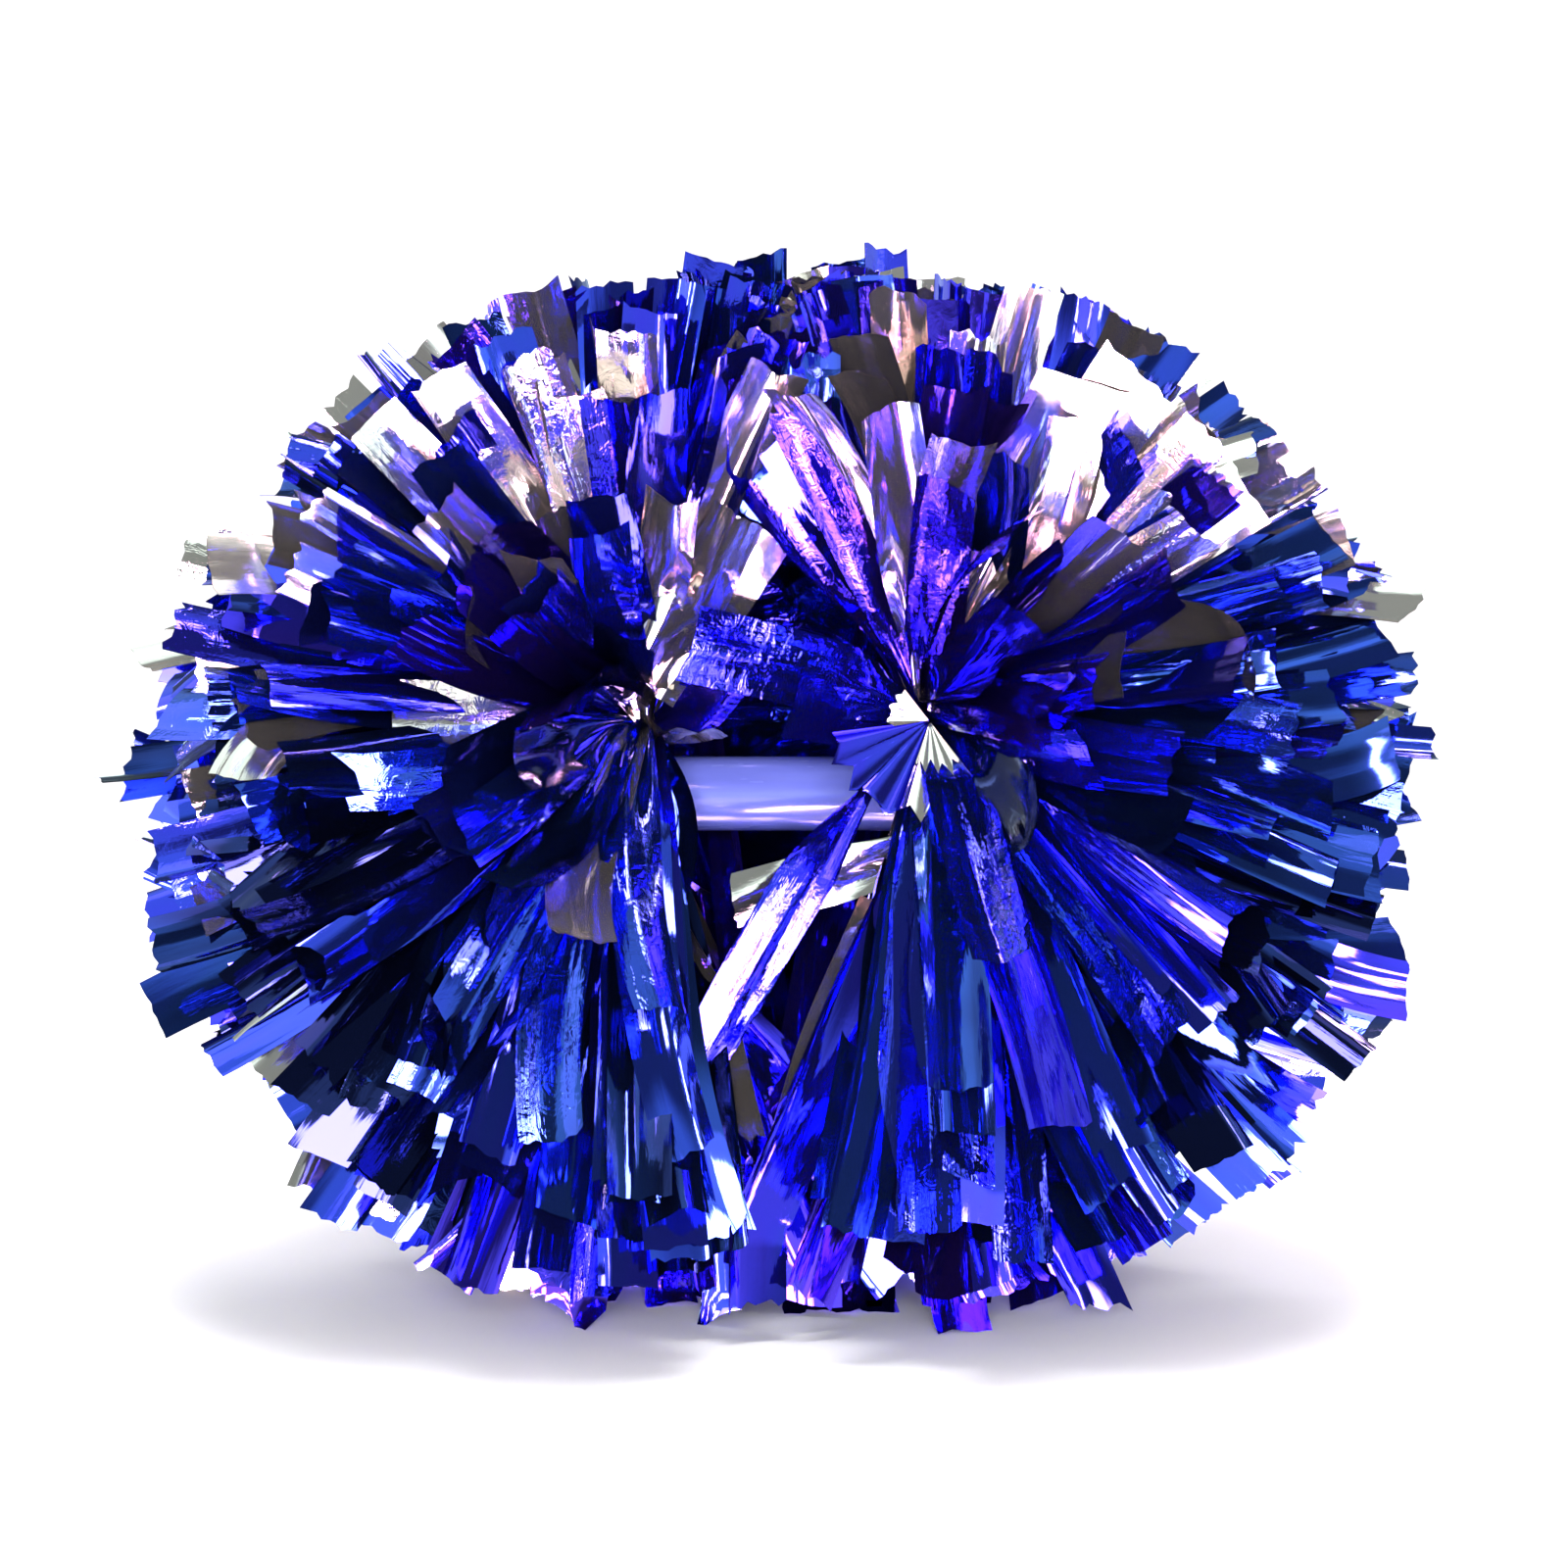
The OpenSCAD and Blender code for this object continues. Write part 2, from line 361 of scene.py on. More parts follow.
# From the darkest and greenest tint, which also gives the painted shade of the low front strips, to the
# most purple one
BLUE = film_material("film_blue", [
    (0.0, (0.009, 0.014, 0.07)),
    (0.2, (0.018, 0.046, 0.24)),
    (0.45, (0.022, 0.042, 0.38)),
    (0.8, (0.032, 0.024, 0.46)),
    (1.2, (0.055, 0.022, 0.40)),
], 0.94, 0.06)
SILVER = film_material("film_silver", [
    (0.0, (0.92, 0.80, 0.75)),
    (0.6, (0.95, 0.83, 0.78)),
    (1.0, (0.88, 0.75, 0.78)),
    (1.25, (0.82, 0.66, 0.60)),
], 0.95, 0.09)
# By a word in the names of the CAD nodes that keep their meshes
SOLIDS = {
    "tube": grained_material("handle_plastic", (0.19, 0.22, 0.84), 0.25, 0.06, coat=0.5, along=0.2),
    "plug": grained_material("plug_plastic", (0.30, 0.33, 0.80), 0.35, 0.1),
    "disc": grained_material("disc_plastic", (0.72, 0.73, 0.78), 0.5, 0.15),
    "washer": grained_material("zinc_steel", (0.62, 0.63, 0.66), 0.3, 0.04, metal=1.0),
}
SOLIDS["screw"] = SOLIDS["washer"]


def wear(obj, material):
    """The one material of an object, for all its faces."""
    obj.data.materials.clear()
    obj.data.materials.append(material)


for node_name, cad_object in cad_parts.items():
    for word, material in SOLIDS.items():
        if word in node_name:
            wear(cad_object, material)

# ---------------------------------------------------------------- film


def reach(aim):
    """How far the head's oval outline is from its middle along each aim."""
    across = (aim[:, 1] ** 2 + aim[:, 2] ** 2) / HEAD_R ** 2
    return 1 / np.sqrt((aim[:, 0] / HEAD_REACH) ** 2 + across)


def direction(angle, turn):
    """angle from the outward axis and turn from straight down, both in degrees."""
    a, t = np.radians(angle), np.radians(turn)
    return np.stack([np.cos(a), np.sin(a) * np.sin(t), -np.sin(a) * np.cos(t)], -1)


def glinting(aim):
    """The way that strips along aim look if they mirror the light low in front, inwards of their
    own head, towards the front."""
    half = unit(np.array([-0.42, -0.75, -0.5]) + [0, -1, 0.07])
    return unit(half - dot(aim, half) * aim)


def face_for(rng, aim, low_silver, dome):
    """Which way each strip along aim faces, and whether it is of silver film. Most face out to the
    front or the back, or on the end's dome outwards, and some are astray. low_silver is the
    share of silver ones below the top."""
    n = len(aim)
    outward = np.where(aim[:, 1] > 0, 1.0, -1.0)
    loose = np.abs(aim[:, 1]) < 0.2
    outward[loose] = rng.choice([-1, 1], loose.sum())
    low = (aim[:, 2] < 0.2) & (np.abs(aim[:, 1]) < 0.35)
    outward[low] = -1
    base = np.stack([np.zeros(n), outward, np.zeros(n)], 1)
    pick = rng.random(n)
    base[pick > np.where(low & (low_silver == 0), 0.9, 0.7)] = (1, 0, 0)
    astray = pick > np.where(aim[:, 2] > 0.25, 0.88, 1.0 - low_silver)
    base[astray] = unit(rng.normal(size=(astray.sum(), 3)))
    share = np.where(aim[:, 2] > 0.25, 0.33, np.maximum(low_silver, 0.1 * (aim[:, 1] > 0)))
    if dome:
        base = unit(aim * [0, 1, 1])
    silver = rng.random(n) < share
    face = unit(base + rng.normal(0, 0.25, (n, 3))) * np.where(silver, -1, 1)[:, None]
    # Most of the silver ones at the upper front catch the light
    white = silver & (aim[:, 2] > 0.1) & (aim[:, 1] < 0.3) & (rng.random(n) < 0.88)
    face[white] = -unit(glinting(aim[white]) + rng.normal(0, 0.1, (white.sum(), 3)))
    return face, silver


def course(root, start, tip, settle):
    """The length of each strip, and the way it settles to, if it leaves root along start and its
    end is at tip."""
    part = (settle / 2)[:, None]
    v = tip - root
    along = part * dot(v, start)
    length = (np.sqrt(along ** 2 + (1 - 2 * part) * dot(v, v)) - along) / (1 - 2 * part)
    return length[:, 0], unit(v - length * part * start)


# The placed strips at the front of each hub: where each starts and ends, outwards, back and up
# from the middle of the handle, the way it sets off, the way it faces (None if it catches the
# light), its width, how far it opens, its tint, and whether it is crumpled. Those that catch the
# light or face back are of silver film
FRONT = {
    "right": [
        ((34, -70, 18), (-30, -70, -78), (-0.6, -0.1, -0.75), (0.2, -1, -0.2), 19, 0.98, 0.5, 1),
        ((46, -71, 10), (42, -80, -92), (0.05, -0.2, -1), (0, -1, 0.15), 19, 0.98, 0.0, 0),
        ((43, -34, 27), (-27, -76, 50), (-0.7, -0.4, 0.3), (0.05, -1, -0.3), 24, 0.985, 0.45, 1),
        ((43, -30, 24), (4, -62, 30), (-0.9, -0.4, 0.1), (0, -1, -0.2), 19, 0.98, 0.5, 1),
        ((44, -29, 24), (58, -62, -82), (0.1, -0.5, -0.9), (0, -1, 0.1), 19, 0.98, 0.05, 0),
        ((44, -29, 24), (78, -78, -60), (0.4, -0.5, -0.7), (-0.1, -1, 0.3), 19, 0.97, 0.0, 0),
        ((45, -29, 24), (112, -92, 8), (0.7, -0.6, 0), (0, -1, 0.3), 19, 0.98, 0.1, 0),
        ((46, -52, 30), (84, -102, 126), (0.2, -0.35, 0.9), None, 26, 0.998, 0.5, 0),
        ((46, -52, 30), (102, -104, 128), (0.3, -0.35, 0.8), None, 26, 0.998, 0.4, 0),
        ((46, -52, 30), (120, -102, 112), (0.5, -0.35, 0.7), None, 24, 0.998, 0.4, 1),
        ((46, -52, 30), (134, -98, 94), (0.6, -0.35, 0.6), None, 22, 0.998, 0.4, 0),
        ((40, -50, -14), (-15, -56, -29), (-0.95, 0, -0.3), (0, 1, 0.2), 18, 0.998, 0.4, 0),
        ((30, -52, -30), (4, -58, -104), (-0.4, 0, -1), (0, 1, 0.1), 20, 0.99, 0.5, 1),
        ((44, -24, 20), (30, -76, -98), (-0.2, -0.5, -0.8), (0, 1, 0.1), 19, 0.98, 0.4, 1),
    ],
    "left": [
        ((44, -27, 20), (60, -70, -88), (-0.55, -0.4, -0.75), (0, -1, 0.15), 19, 0.97, 0.0, 0),
        ((44, -28, 18), (80, -76, -70), (-0.2, -0.6, -0.8), (0, -1, 0.2), 19, 0.97, 0.05, 0),
        ((42, -56, 34), (8, -64, 84), (-0.5, -0.1, 0.85), None, 28, 0.998, 0.3, 0),
        ((44, -54, 36), (38, -62, 90), (-0.1, -0.1, 1), None, 24, 0.998, 0.4, 0),
        ((44, -54, 28), (144, -88, 72), (0.8, -0.3, 0.4), None, 17, 0.99, 0.4, 0),
        ((44, -54, 28), (136, -94, 92), (0.7, -0.3, 0.6), None, 13, 0.98, 0.5, 0),
        ((44, -54, 28), (120, -96, 114), (0.6, -0.3, 0.8), None, 19, 0.99, 0.5, 1),
        ((44, -54, 28), (98, -100, 128), (0.4, -0.3, 0.9), None, 19, 0.99, 0.5, 1),
        ((44, -54, 28), (76, -102, 134), (0.2, -0.3, 0.9), None, 16, 0.99, 0.6, 1),
        ((43, -48, 28), (46, -98, 140), (0, -0.3, 0.9), None, 19, 0.99, 0.5, 1),
        ((38, -48, -18), (16, -60, -100), (-0.3, 0, -1), (0, 1, 0.3), 22, 0.99, 0.5, 1),
        ((43, -29, 21), (18, -60, 38), (-0.7, -0.6, 0.2), (0, -0.9, -0.4), 19, 0.95, 0.6, 1),
        ((43, -29, 21), (26, -66, 24), (-0.6, -0.7, 0), None, 19, 0.95, 0.6, 1),
        ((46, -29, 21), (112, -84, 30), (0.2, -1, 0.1), None, 22, 0.98, 0.7, 1),
        ((46, -29, 21), (104, -86, 8), (0.3, -1, -0.1), None, 20, 0.98, 0.5, 1),
        ((46, -27, 24), (120, -78, 62), (0.7, -0.4, 0.5), None, 19, 0.98, 0.5, 0),
        ((44, -24, 22), (63, -104, 90), (0.1, -0.5, 0.8), (0, 1, -0.2), 17, 0.998, 0.5, 0),
        ((43, -24, 22), (31, -102, 90), (-0.1, -0.5, 0.8), (0, 1, -0.2), 17, 0.998, 0.5, 0),
        ((43, -24, 22), (12, -98, 86), (-0.3, -0.5, 0.8), (0, 1, -0.2), 17, 0.998, 0.5, 0),
    ],
}
FORWARD, SHORT = -45, 85  # a placed strip that starts forward of this and is this short is open

# The pleated fans at the front of the right hub: middle, first and last angle, radius
FANS = [
    ((43, -76, 27), 250, 308, 27),
    ((43, -75, 27), 128, 188, 12),
    ((43, -74, 27), 186, 254, 29),
]
FAN_SILVER = [True, True, False]
FAN_TINT = [0.3, 0.3, 0.5]
FAN_LENGTH = 60.0  # of the film in a fan, in mm
BUNDLE_Y, BUNDLE_Z = 58, -12  # from a fan's middle to where its bundle starts, in mm


def fan(middle, first, last, radius):
    """A strip that comes forwards from the hub as a tight bundle, and opens into pleats round
    the point where it turns aside."""
    angle = np.radians(np.linspace(first, last, COLS))[None, :]
    s = np.linspace(-0.6, 1, ROWS)[:, None]
    out = np.maximum(s, 0.03) * radius * (1 + 0.1 * np.sin(3.7 * np.arange(COLS)))[None, :]
    pleat = np.where(np.arange(COLS) % 2, 1, -1)[None, :]
    back = np.clip(-s, 0, 1) / 0.6
    grid = np.stack([out * np.cos(angle), out * (0.2 * pleat - 0.12) + back * BUNDLE_Y,
                     out * np.sin(angle) + back * BUNDLE_Z], -1)
    return grid + np.array(middle) + [0, 0, AXIS_Z]


def cap_strips(rng):
    """Plain strips that spread from the front of the hub over the ends of the rest: grids, crush,
    tint and length."""
    n = N_CAPS
    turn = np.radians(np.linspace(-114, 82, n) + rng.normal(0, 5, n))
    off = np.radians(rng.uniform(34, 66, n))
    aim = np.stack([np.cos(turn) * np.sin(off), -np.cos(off), np.sin(turn) * np.sin(off)], -1)
    root = np.array([46, -26, AXIS_Z + 21]) + rng.normal(0, 1.5, (n, 3))
    start = unit(aim * [1, 0.35, 1] + rng.normal(0, 0.1, (n, 3)))
    tip = HEAD_MIDDLE + aim * reach(aim)[:, None] * rng.uniform(0.86, 0.97, (n, 1))
    length, settled = course(root, start, tip, np.full(n, 0.4))
    face = unit(np.array([0, -1, 0]) + rng.normal(0, 0.22, (n, 3)))
    grids, crush = ribbons(rng, root, start, settled, length, face, 0.4, root_open=0.42,
                           twist=0.2, crushed=0.2)
    # Low strips are made darker and greener, as painted shade
    tint = rng.uniform(0, 0.4, n) - 0.32 * (np.sin(turn) < 0.15)
    return grids, crush, tint, length


def front_strips(side, rng):
    """The placed strips, fans and plain strips at the front of one hub, as head_layer gives them."""
    columns = list(zip(*FRONT[side]))
    shows_light = np.array([v is None for v in columns[3]])
    columns[3] = [v or (0, -1, 0) for v in columns[3]]
    root, tip, start, face, width, tip_open, tint, crumpled = (np.array(v, float) for v in columns)
    settle = np.where(crumpled > 0, 0.8, 0.45)
    start, face = unit(start), unit(face)
    opened = (root[:, 1] < FORWARD) & (np.linalg.norm(tip - root, axis=1) < SHORT)
    root_open = np.where(opened, 0.75, 0.22)
    length, settled = course(root, start, tip, settle)
    face[shows_light] = -glinting(settled[shows_light])
    silver = shows_light | (face[:, 1] > 0)
    stray = np.where(silver, 0.35, 1.0)  # the silver ones keep to the way that catches the light
    made = []
    for i in range(len(root)):
        one = slice(i, i + 1)
        made.append(ribbons(
            rng, root[one] + [0, 0, AXIS_Z], start[one], settled[one], length[one], face[one],
            settle[i], ANYWHERE, width=width[i], root_open=root_open[i],
            tip_open=(tip_open[i] - 0.001, tip_open[i]), twist=0.1 * stray[i],
            curl=0.2 * stray[i], bend=0.05 * stray[i], crushed=crumpled[i]))
    if side == "right":
        fans = np.stack([fan(*f) for f in FANS])
        fans[FAN_SILVER] = fans[FAN_SILVER][:, :, ::-1]
        made.append((fans, np.zeros(len(FANS))))
        tint = np.append(tint, FAN_TINT)
        length = np.append(length, [FAN_LENGTH] * len(FANS))
        silver = np.append(silver, FAN_SILVER)
    *cap, cap_tint, cap_length = cap_strips(rng)
    grids, crush = (np.concatenate(v) for v in zip(*made, cap))
    return (grids, crush, np.append(tint, cap_tint), np.append(length, cap_length),
            np.append(silver, [False] * N_CAPS))


def spread(rng, k):
    """For each strip of layer k: how far round it is from straight down, its angle from the
    outward axis, how soon it settles, its tint, and how far its end curls over."""
    angle, bunches, first, each, curl_over = LAYER[k]
    n = bunches * each
    turn = np.repeat(first + np.arange(bunches) * 360 / bunches, each)
    turn = turn + rng.normal(0, 0.42 * 360 / bunches, n)
    phi = angle + rng.normal(0, 5.5 if k < LAYERS - 1 else 11, n)
    purple = 0.25 if k < 3 else -0.2
    tint = np.repeat(rng.uniform(0, 0.7, bunches) + purple, each) + rng.normal(0, 0.14, n)
    settle = np.full(n, 0.38)
    if k == 0:
        # Strips that close the space between the heads: behind the handle, above and below
        behind = np.linspace(10, 170, N_BEHIND) + rng.normal(0, 4, N_BEHIND)
        above = np.linspace(148, 226, N_ABOVE) + rng.normal(0, 2, N_ABOVE)
        below = np.linspace(-46, 30, N_BELOW) + rng.normal(0, 2, N_BELOW)
        others = N_ABOVE + N_BELOW
        turn = np.concatenate([turn, behind, above, below])
        phi = np.concatenate([phi, rng.uniform(104, 152, N_BEHIND), rng.uniform(98, 114, others)])
        settle = np.concatenate([settle, np.full(N_BEHIND, 0.6), np.full(others, 0.4)])
        tint = np.concatenate([tint, rng.uniform(0, 0.8, N_BEHIND + others)])
    lean = np.full(len(turn), curl_over)
    if k == LAYERS - 1:
        turn = np.concatenate([turn, rng.uniform(0, 360, N_OVER)])
        phi = np.concatenate([phi, rng.uniform(14, 54, N_OVER)])
        settle = np.concatenate([settle, np.full(N_OVER, 0.5)])
        tint = np.concatenate([tint, rng.uniform(0, 0.7, N_OVER)])
        lean = np.concatenate([lean, rng.uniform(0.9, 1.5, N_OVER)])
    return turn, phi, settle, tint, lean


def combed(aim):
    """The front ones of aim turned away from straight forwards, so that few are left there."""
    off = np.degrees(np.arccos(np.clip(-aim[:, 1], -1, 1)))
    wider = np.radians(np.where(off < 90, 90 * (np.maximum(off, 4) / 90) ** 0.72, off))[:, None]
    apart = unit(aim * [1, 0, 1]) * np.sin(wider) + np.array([0, -1, 0]) * np.cos(wider)
    return np.where((off < 90)[:, None], apart, aim)


def head_layer(side, k):
    """All strips of one layer of one head, as grids in mm, with how crumpled each is, its tint,
    its length, and whether it is of silver film."""
    rng = np.random.default_rng(100 * (side == "right") + k + 11)
    turn, phi, settle, tint, lean = spread(rng, k)
    away = (turn - 270 + 180) % 360 - 180  # from straight in front, where the hand goes in
    outer = np.minimum(phi, 84 + np.abs(away) * 0.25)
    phi = np.where(np.abs(away) < HAND_ANGLE, outer, phi)
    stay = ~((k == 0) & (np.abs(away) < HAND_ANGLE_1))
    turn, phi, away, settle, tint, lean = (v[stay] for v in (turn, phi, away, settle, tint, lean))
    n = len(turn)
    aim = combed(direction(phi, turn))

    # The front strips leave the hub a little above the handle's line
    lift = smooth(95, 35, np.abs(away))
    root_turn = turn * (1 - lift) + (270 - 34 + 0.35 * away) * lift
    root_turn = np.where(turn % 360 < 180, turn, root_turn)
    out = direction(np.full(n, 90.0), root_turn + rng.normal(0, 6, n))
    root_r = ROOT_R + (LAYERS - 1 - k) * RADIUS_STEP
    root = np.array([layer_x(k), 0, AXIS_Z]) + out * root_r
    size = rng.uniform(0.93, 0.985, n)
    size = size + 0.045 * ((k == 0) & (phi > 97) & (np.abs(aim[:, 1]) < 0.75))
    size = size + 0.02 * (k >= 5) - 0.2 * (k >= 3) * np.clip(rng.uniform(-1, 1, n), 0, 1)
    tip = HEAD_MIDDLE + aim * (reach(aim) * size)[:, None]
    length, settled = course(root, out, tip, settle)
    face, silver = face_for(rng, aim, 0.0 if side == "right" else 0.05, k >= 4)

    # Strips low at the front are made darker and greener as painted shade, and those underneath more
    # purple
    tint = tint - 0.6 * smooth(0.25, 0.6, -aim[:, 1]) * smooth(0.3, -0.1, aim[:, 2])
    tint = tint + 0.35 * smooth(-0.55, -0.8, aim[:, 2]) * (k < 3)
    # On the right head, strips that don't point down are a little darker past the second layer, as
    # painted shade, and none is below tint 0.02
    if side == "right":
        tint = np.where(aim[:, 2] > -0.25, np.maximum(tint - 0.06 * (k > 1), 0.02), tint)
    behind = settle > 0.5
    face[behind] = unit(np.array([0, 1, -0.12]) + rng.normal(0, 0.12, (behind.sum(), 3)))
    silver[behind] = rng.random(behind.sum()) < 0.15
    keep = MEET if k == 0 else OUTSIDE
    grids, crush = ribbons(rng, root, out, settled, length, face, settle, keep, lean=lean)

    # The hand's way in, in front of the handle, stays clear
    middle = grids[:, :, COLS // 2]
    in_way = ((np.abs(middle[..., 2] - AXIS_Z) < HAND_HALF_H) & (middle[..., 0] < HAND_X)
              & (middle[..., 1] < HAND_Y)).any(1)
    strips = [v[~in_way] for v in (grids, crush, tint, length, silver)]
    if k == 0:
        strips = [np.concatenate(v) for v in zip(strips, front_strips(side, rng))]
    grids, crush, tint, length, silver = strips
    if side == "left":
        grids = grids[:, :, ::-1] * [-1, 1, 1]
    return grids, crush, np.clip(tint, -0.35, 1), length, silver


for side in SIDES:
    for k in range(LAYERS):
        grids, crush, tints, lengths, silver = head_layer(side, k)
        piece = film_object(f"{side}_film_{k + 1}", grids, tints, crush, silver)
        for material in (BLUE, SILVER):  # in the order of film_object's material indices
            piece.data.materials.append(material)
        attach(piece, f"{side}_head")
        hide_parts(f"{side}_foil_layer_{k + 1}")

SPOKES, RINGS = 96, 6  # points round and across the clamped middle of a sheet
BORE_R = 2.7  # of the hole for the screw, in mm
RIPPLE = 0.42  # the height of the pleats at the edge of the clamped middle, in mm


def core_film(side):
    """The clamped middles of the sheets: thin discs with radial pleats that deepen outwards."""
    rng = np.random.default_rng(77 + (side == "right"))
    verts, faces = [], []
    for k in range(LAYERS):
        edge_r = CORE_R + (LAYERS - 1 - k) * RADIUS_STEP
        phase = rng.uniform(0, 6)
        first = len(verts)
        for i in range(RINGS):
            f = i / (RINGS - 1)
            r = BORE_R + (edge_r - BORE_R) * f
            for j in range(SPOKES):
                a = 2 * math.pi * j / SPOKES
                ripple = RIPPLE * f * (1 if j % 2 else -1) * (0.7 + 0.3 * math.sin(5 * a + phase))
                verts.append((layer_x(k) + ripple, r * math.cos(a), AXIS_Z + r * math.sin(a)))
        for i in range(RINGS - 1):
            for j in range(SPOKES):
                a, b = first + i * SPOKES + j, first + i * SPOKES + (j + 1) % SPOKES
                faces.append((a, b, b + SPOKES, a + SPOKES))
    sign = -1 if side == "left" else 1
    mesh = bpy.data.meshes.new(f"{side}_film_middle")
    mesh.from_pydata([(sign * x * MM, y * MM, z * MM) for x, y, z in verts], [], faces)
    uv = mesh.uv_layers.new(name="film_mm")
    for loop in mesh.loops:
        co = mesh.vertices[loop.vertex_index].co
        uv.data[loop.index].uv = (co.y, co.z)
    mesh.attributes.new("tint", "FLOAT", "POINT").data.foreach_set(
        "value", np.full(len(verts), 0.3, np.float32))
    obj = bpy.data.objects.new(f"{side}_film_middle", mesh)
    bpy.context.scene.collection.objects.link(obj)
    wear(obj, BLUE)
    return obj


for side in SIDES:
    middle = core_film(side)
    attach(middle, f"{side}_head")
    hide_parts(f"{side}_foil_core")

# ---------------------------------------------------------------- studio

middle_z = AXIS_Z * MM


def softbox(name, where, size, power):
    """A rectangular lamp that looks at the pom."""
    lamp = bpy.data.lights.new(name, "AREA")
    lamp.shape = "RECTANGLE"
    lamp.size, lamp.size_y = size
    lamp.energy = power
    obj = bpy.data.objects.new(name, lamp)
    obj.location = where
    look = Vector((0, 0, middle_z)) - Vector(where)
    obj.rotation_euler = look.to_track_quat("-Z", "Y").to_euler()
    obj.visible_camera = False
    obj.visible_glossy = False  # the film mirrors only the panels round it
    bpy.context.scene.collection.objects.link(obj)


softbox("top_softbox", (0.0, -0.3, 1.6), (0.7, 0.5), 30)
softbox("back_softbox", (0.2, 1.2, 1.2), (0.7, 0.3), 10)
softbox("front_softbox", (0.0, -1.5, 0.35), (0.5, 0.5), 24)

world = bpy.data.worlds.new("studio")
bpy.context.scene.world = world
world.use_nodes = True
room = world.node_tree
DEGREES = 180 / math.pi
seen = add_node(room, "TexCoord", {}).outputs["Generated"]
seen = add_node(room, "SeparateXYZ", {"Vector": seen}).outputs
up = maths(room, "MULTIPLY", maths(room, "ARCSINE", seen["Z"]), DEGREES)
# 0 straight in front and behind, 90 at the right and -90 at the left
depth = maths(room, "ABSOLUTE", seen["Y"])
rightwards = maths(room, "MULTIPLY", maths(room, "ARCTAN2", seen["X"], depth), DEGREES)


def band(value, low, high, soft):
    """1 where value is from low to high, and 0 elsewhere, with edges of twice soft."""
    rise = add_node(room, "MapRange", {"Value": value, "From Min": low - soft,
                                       "From Max": low + soft}, interpolation_type="SMOOTHSTEP")
    fall = add_node(room, "MapRange", {"Value": value, "From Min": high - soft,
                                       "From Max": high + soft, "To Min": 1, "To Max": 0},
                    interpolation_type="SMOOTHSTEP")
    return maths(room, "MULTIPLY", rise.outputs["Result"], fall.outputs["Result"])


# The dim room that the film mirrors between the panels: angle, from, to, softness, brightness
DIM_BASE = 0.22
DIM_BANDS = [
    (up, -70, 8, 8, 1.5),
    (rightwards, 62, 100, 8, 0.6),
    (rightwards, -100, -48, 8, 1.8),
    (up, 68, 100, 5, 1.0),
]
# Panels round the pom: lowest and highest angle up, left and right angle, brightness
PANEL_SOFT = 0.8
PANELS = [
    (-66, -36, -44, 52, 80),
    (-31, -17, -36, -22, 80),
    (-34, -17, 8, 24, 80),
    (-38, -18, 27, 50, 80),
    (-22, -12, 54, 64, 80),
    (-45, 30, -78, -73, 80),
    (6, 36, 67, 71, 80),
    (56, 68, 26, 66, 50),
    (30, 40, 34, 48, 60),
    (-10, 14, -56, -53, 80),
    (-36, -20, -62, -44, 80),
    (-34, -9, -30, 30, 2.4),
    (0, 60, 74, 110, 2.5),
    (0, 60, -110, -74, 2.5),
    (-88, -70, -180, 180, 20),
]
DIM_COLOUR = (0.75, 1.0, 0.97, 1)
PANEL_COLOUR = (1.0, 0.66, 0.93, 1)
PLAIN_ROOM = 0.95

dim = DIM_BASE
for angle, low, high, soft, bright in DIM_BANDS:
    dim = maths(room, "ADD", maths(room, "MULTIPLY", band(angle, low, high, soft), bright), dim)
glow = 0.0
for low, high, left, right, bright in PANELS:
    panel = maths(room, "MULTIPLY", band(up, low, high, PANEL_SOFT),
                  band(rightwards, left, right, PANEL_SOFT))
    glow = maths(room, "ADD", maths(room, "MULTIPLY", panel, float(bright)), glow)
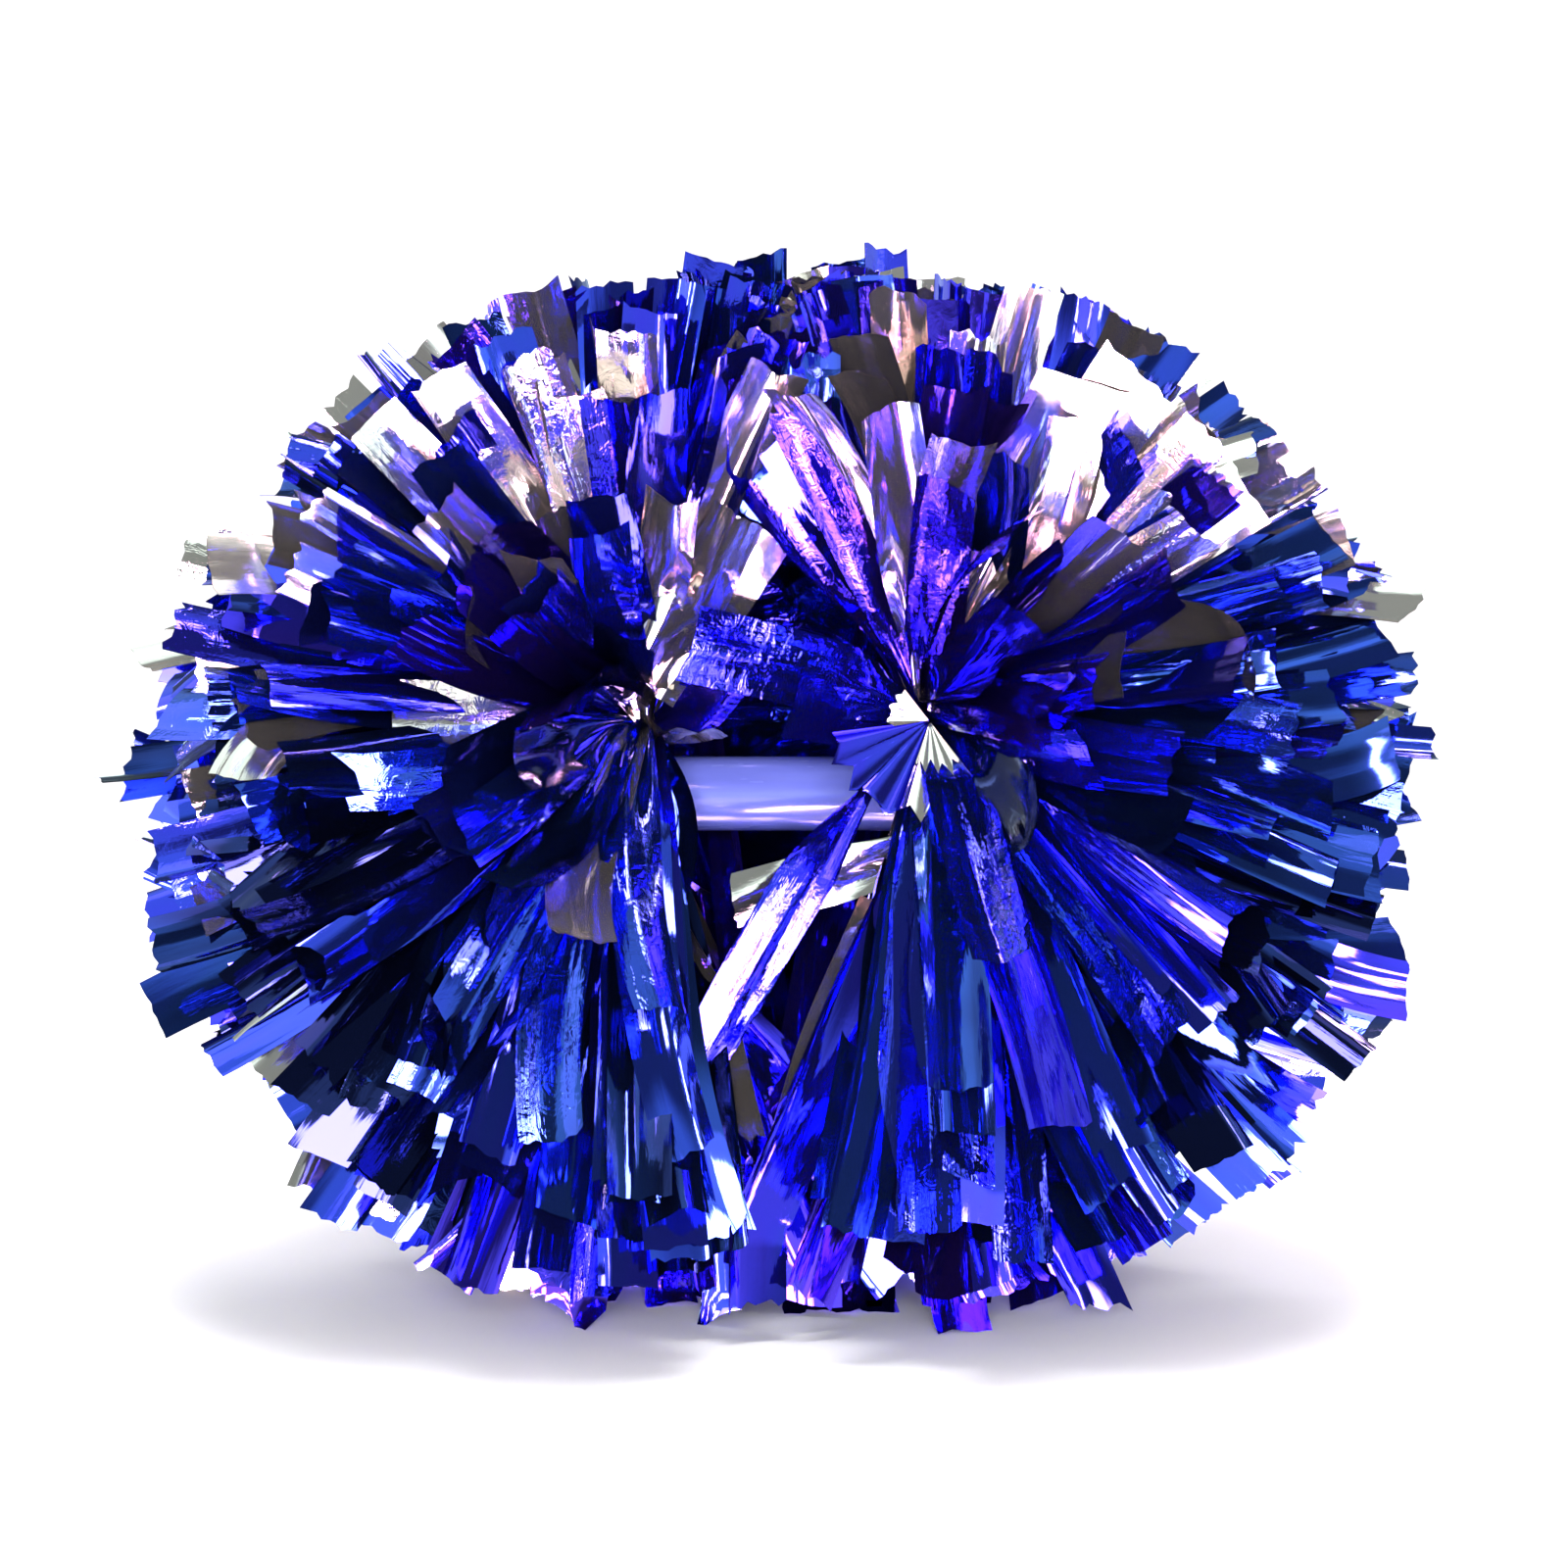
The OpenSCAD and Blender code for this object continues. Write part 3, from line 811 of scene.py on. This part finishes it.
# Only the film and the handle's gloss mirror this room: the rest is lit by a plain pale one
path = add_node(room, "LightPath", {}).outputs
undiffused = maths(room, "LESS_THAN", path["Diffuse Depth"], 0.5)
mirrored = maths(room, "MULTIPLY", path["Is Glossy Ray"], undiffused)
plain_part = maths(room, "SUBTRACT", PLAIN_ROOM, maths(room, "MULTIPLY", mirrored, PLAIN_ROOM))
background = room.nodes["Background"]
background.inputs["Color"].default_value = (1.0, 1.0, 1.0, 1)
room.links.new(plain_part, background.inputs["Strength"])
total = background.outputs[0]
for colour, strength in ((DIM_COLOUR, dim), (PANEL_COLOUR, glow)):
    strength = maths(room, "MULTIPLY", strength, mirrored)
    part = add_node(room, "Background", {"Color": colour, "Strength": strength})
    total = add_node(room, "AddShader", {0: total, 1: part.outputs[0]}).outputs[0]
room.links.new(total, room.nodes["World Output"].inputs["Surface"])

# The floor curves up behind the pom into a wall
FLOOR_HALF_W, CURVE_Y, CURVE_R, WALL_H = 6.0, 1.6, 0.8, 4.0
profile = [(-FLOOR_HALF_W, 0.0), (CURVE_Y, 0.0)]
profile += [(CURVE_Y + CURVE_R * math.sin(a), CURVE_R - CURVE_R * math.cos(a))
            for a in np.linspace(0.1, math.pi / 2, 12)]
profile += [(CURVE_Y + CURVE_R, WALL_H)]
verts = [(x, y, z) for y, z in profile for x in (-FLOOR_HALF_W, FLOOR_HALF_W)]
faces = [(2 * i, 2 * i + 1, 2 * i + 3, 2 * i + 2) for i in range(len(profile) - 1)]
mesh = bpy.data.meshes.new("floor")
mesh.from_pydata(verts, [], faces)
mesh.polygons.foreach_set("use_smooth", [True] * len(faces))
floor = bpy.data.objects.new("floor", mesh)
bpy.context.scene.collection.objects.link(floor)
pale, _, pale_shader = new_material("pale_floor")
pale_shader.inputs["Base Color"].default_value = (0.86, 0.86, 0.87, 1)
pale_shader.inputs["Roughness"].default_value = 0.9
wear(floor, pale)
floor.visible_glossy = False

camera = bpy.data.cameras.new("camera")
camera.lens = 85
camera.sensor_width = 36
eye = bpy.data.objects.new("camera", camera)
bpy.context.scene.collection.objects.link(eye)
DISTANCE, ELEVATION = 1.17, math.radians(4)
look = Vector((0, 0, middle_z + 0.003))
eye.location = look + Vector((0, -math.cos(ELEVATION), math.sin(ELEVATION))) * DISTANCE
eye.rotation_euler = (look - eye.location).to_track_quat("-Z", "Y").to_euler()
bpy.context.scene.camera = eye
bpy.context.scene.view_settings.view_transform = "Standard"
